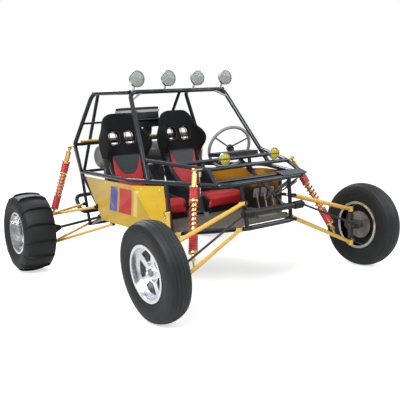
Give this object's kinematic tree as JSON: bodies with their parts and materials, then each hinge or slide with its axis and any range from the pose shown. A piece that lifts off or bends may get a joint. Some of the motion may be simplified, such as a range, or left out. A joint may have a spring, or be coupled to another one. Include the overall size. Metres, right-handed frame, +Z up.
{
  "type": "two-seat off-road buggy kart",
  "caption": "Two-seat off-road kart with a tube frame, long yellow arms, red coil-over shocks, bucket seats, roof and nose lamps and a rear engine.",
  "frame": {"origin": "centre of the bounding box on the ground, between the axles", "axes": "-Y forward, +X to the vehicle's left, +Z up"},
  "size_m": [2.3672, 2.8653, 1.6932],
  "materials": {
    "frame_black": "satin black paint",
    "arm_yellow": "gloss yellow paint",
    "panel_gold": "gloss gold paint",
    "gusset_grey": "satin light grey paint",
    "floor_sheet": "dusty grey paint",
    "tyre_rubber": "matt rubber",
    "rim_alloy": "polished",
    "brake_steel": "bare",
    "carrier_steel": "dark coated",
    "spring_red": "gloss red coat",
    "damper_gold": "gold anodised",
    "rack_alloy": "cast",
    "wheel_grip": "soft grip",
    "seat_fabric": "woven",
    "tank_grey": "satin dark grey paint",
    "box_black": "matt",
    "lamp_chrome": "polished"
  },
  "bodies": {
    "chassis": {"belt_rail": "frame_black", "windscreen_hoop": "frame_black", "roof_rail_left": "frame_black", "roof_rail_right": "frame_black", "rear_stays": "frame_black", "rear_cross_tubes": "frame_black", "hood_rails": "frame_black", "hood_cross_tubes": "frame_black", "floor_frame": "frame_black", "frame_posts": "frame_black", "rack_cross_tube": "frame_black", "rear_subframe": "frame_black", "engine_cradle": "frame_black", "rear_bumper": "frame_black", "column_bracket": "frame_black", "arm_brackets": "frame_black", "front_upper_arms": "arm_yellow", "front_lower_arms": "arm_yellow", "rear_upper_arms": "arm_yellow", "rear_lower_arms": "arm_yellow", "tank_frame": "arm_yellow", "side_panel_left": "panel_gold", "side_panel_right": "panel_gold", "corner_gussets": "gusset_grey", "floor_pan": "floor_sheet", "exhaust": "brake_steel", "rear_carrier_left": "carrier_steel", "rear_carrier_right": "carrier_steel", "front_springs": "spring_red", "rear_springs": "spring_red", "front_shocks": "damper_gold", "rear_shocks": "damper_gold", "steering_rack": "rack_alloy", "engine_block": "rack_alloy", "gearbox": "rack_alloy", "pedal_box": "rack_alloy", "seat_left": "seat_fabric", "seat_right": "seat_fabric", "fuel_tank": "tank_grey", "air_box": "box_black", "dash_panel": "box_black", "roof_lamps": "lamp_chrome", "fog_lamps": "lamp_chrome", "shift_lever": "lamp_chrome"},
    "knuckle_left": {"steering_knuckle_left": "carrier_steel"},
    "front_wheel_left": {"front_tyre_left": "tyre_rubber", "front_rim_left": "rim_alloy", "brake_disc_left": "brake_steel"},
    "rear_wheel_left": {"rear_tyre_left": "tyre_rubber", "rear_rim_left": "rim_alloy"},
    "drive_shaft_left": {"half_shaft_left": "brake_steel"},
    "knuckle_right": {"steering_knuckle_right": "carrier_steel"},
    "front_wheel_right": {"front_tyre_right": "tyre_rubber", "front_rim_right": "rim_alloy", "brake_disc_right": "brake_steel"},
    "rear_wheel_right": {"rear_tyre_right": "tyre_rubber", "rear_rim_right": "rim_alloy"},
    "drive_shaft_right": {"half_shaft_right": "brake_steel"},
    "steering_column": {"steering_wheel": "wheel_grip"},
    "rack_bar": {"tie_rods": "brake_steel"}
  },
  "joints": [
    {"name": "steer_left", "type": "hinge", "parent": "chassis", "child": "knuckle_left", "pos_m": [0.86018, -1.09525, 0.34419], "axis": [0.0506, 0, 0.9987], "range_deg": [-30, 30]},
    {"name": "front_wheel_left_spin", "type": "hinge", "parent": "knuckle_left", "child": "front_wheel_left", "pos_m": [0.997, -1.09525, 0.33726], "axis": [0.9987, 0, -0.0506], "continuous": true},
    {"name": "rear_wheel_left_spin", "type": "hinge", "parent": "chassis", "child": "rear_wheel_left", "pos_m": [1.027, 1.07275, 0.36011], "axis": [0.9991, 0, 0.0419], "continuous": true},
    {"name": "drive_shaft_left_spin", "type": "hinge", "parent": "chassis", "child": "drive_shaft_left", "pos_m": [0.25, 1.07275, 0.3951], "axis": [0.9967, 0, -0.0811], "continuous": true},
    {"name": "steer_right", "type": "hinge", "parent": "chassis", "child": "knuckle_right", "pos_m": [-0.86018, -1.09525, 0.34419], "axis": [-0.0506, 0, 0.9987], "range_deg": [-30, 30]},
    {"name": "front_wheel_right_spin", "type": "hinge", "parent": "knuckle_right", "child": "front_wheel_right", "pos_m": [-0.997, -1.09525, 0.33726], "axis": [-0.9987, 0, -0.0506], "continuous": true},
    {"name": "rear_wheel_right_spin", "type": "hinge", "parent": "chassis", "child": "rear_wheel_right", "pos_m": [-1.027, 1.07275, 0.36011], "axis": [-0.9991, 0, 0.0419], "continuous": true},
    {"name": "drive_shaft_right_spin", "type": "hinge", "parent": "chassis", "child": "drive_shaft_right", "pos_m": [-0.25, 1.07275, 0.3951], "axis": [-0.9967, 0, -0.0811], "continuous": true},
    {"name": "steering_wheel_turn", "type": "hinge", "parent": "chassis", "child": "steering_column", "pos_m": [0.3, -0.28613, 1.02361], "axis": [0.1851, 0.8839, 0.4296], "range_deg": [-270, 270]},
    {"name": "rack_slide", "type": "slide", "parent": "chassis", "child": "rack_bar", "axis": [1, 0, 0], "range_m": [-0.05, 0.05]}
  ],
  "couplings": [
    {"joint": "steer_right", "follows": "steer_left", "ratio": 1},
    {"joint": "steering_wheel_turn", "follows": "steer_left", "ratio": 9},
    {"joint": "rack_slide", "follows": "steer_left", "m_per_rad": 0.0907},
    {"joint": "drive_shaft_left_spin", "follows": "rear_wheel_left_spin", "ratio": 1},
    {"joint": "drive_shaft_right_spin", "follows": "rear_wheel_right_spin", "ratio": 1}
  ]
}
